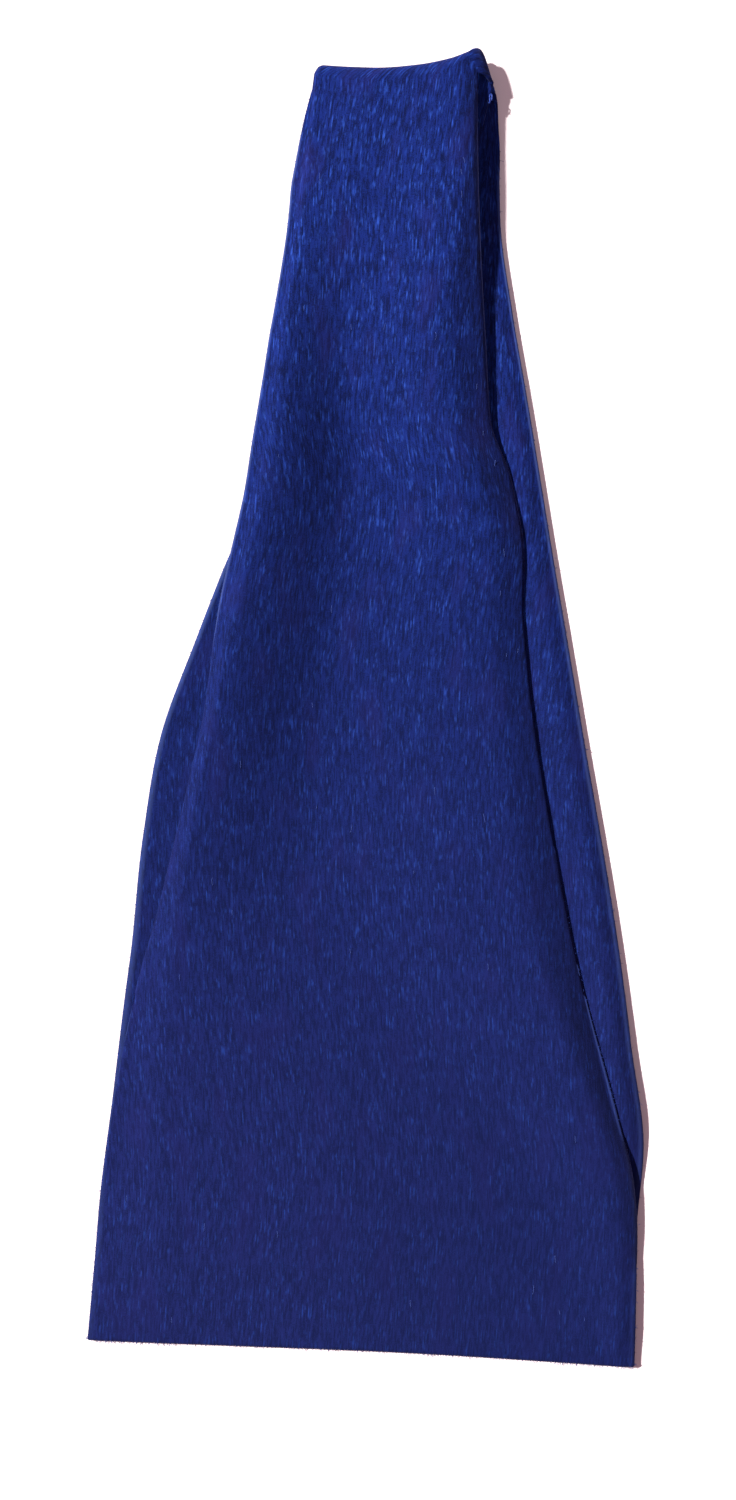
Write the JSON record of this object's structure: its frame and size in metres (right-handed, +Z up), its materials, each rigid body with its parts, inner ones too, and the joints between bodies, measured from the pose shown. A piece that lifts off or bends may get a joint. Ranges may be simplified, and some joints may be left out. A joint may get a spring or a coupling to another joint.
{
  "type": "sweatband",
  "caption": "Tapered stretch sweatband laid flat: wide front fold, narrow back fold with an overlocked seam inside, edges curling under.",
  "frame": {"origin": "on the surface the band lies on, under the middle of its laid-flat outline", "axes": "+Y along the band from the wide front fold to the narrow back fold, +X to its right seen from above, +Z up from the surface"},
  "size_m": [0.1004, 0.239, 0.0092],
  "materials": {
    "jersey": "royal blue brushed stretch jersey with fine lengthwise streaks",
    "thread": "bright blue spun polyester overlock thread"
  },
  "bodies": {
    "root": {"band_panel": "jersey", "seam_needle_thread": "thread", "seam_upper_looper_thread": "thread", "seam_lower_looper_thread": "thread"}
  },
  "joints": []
}
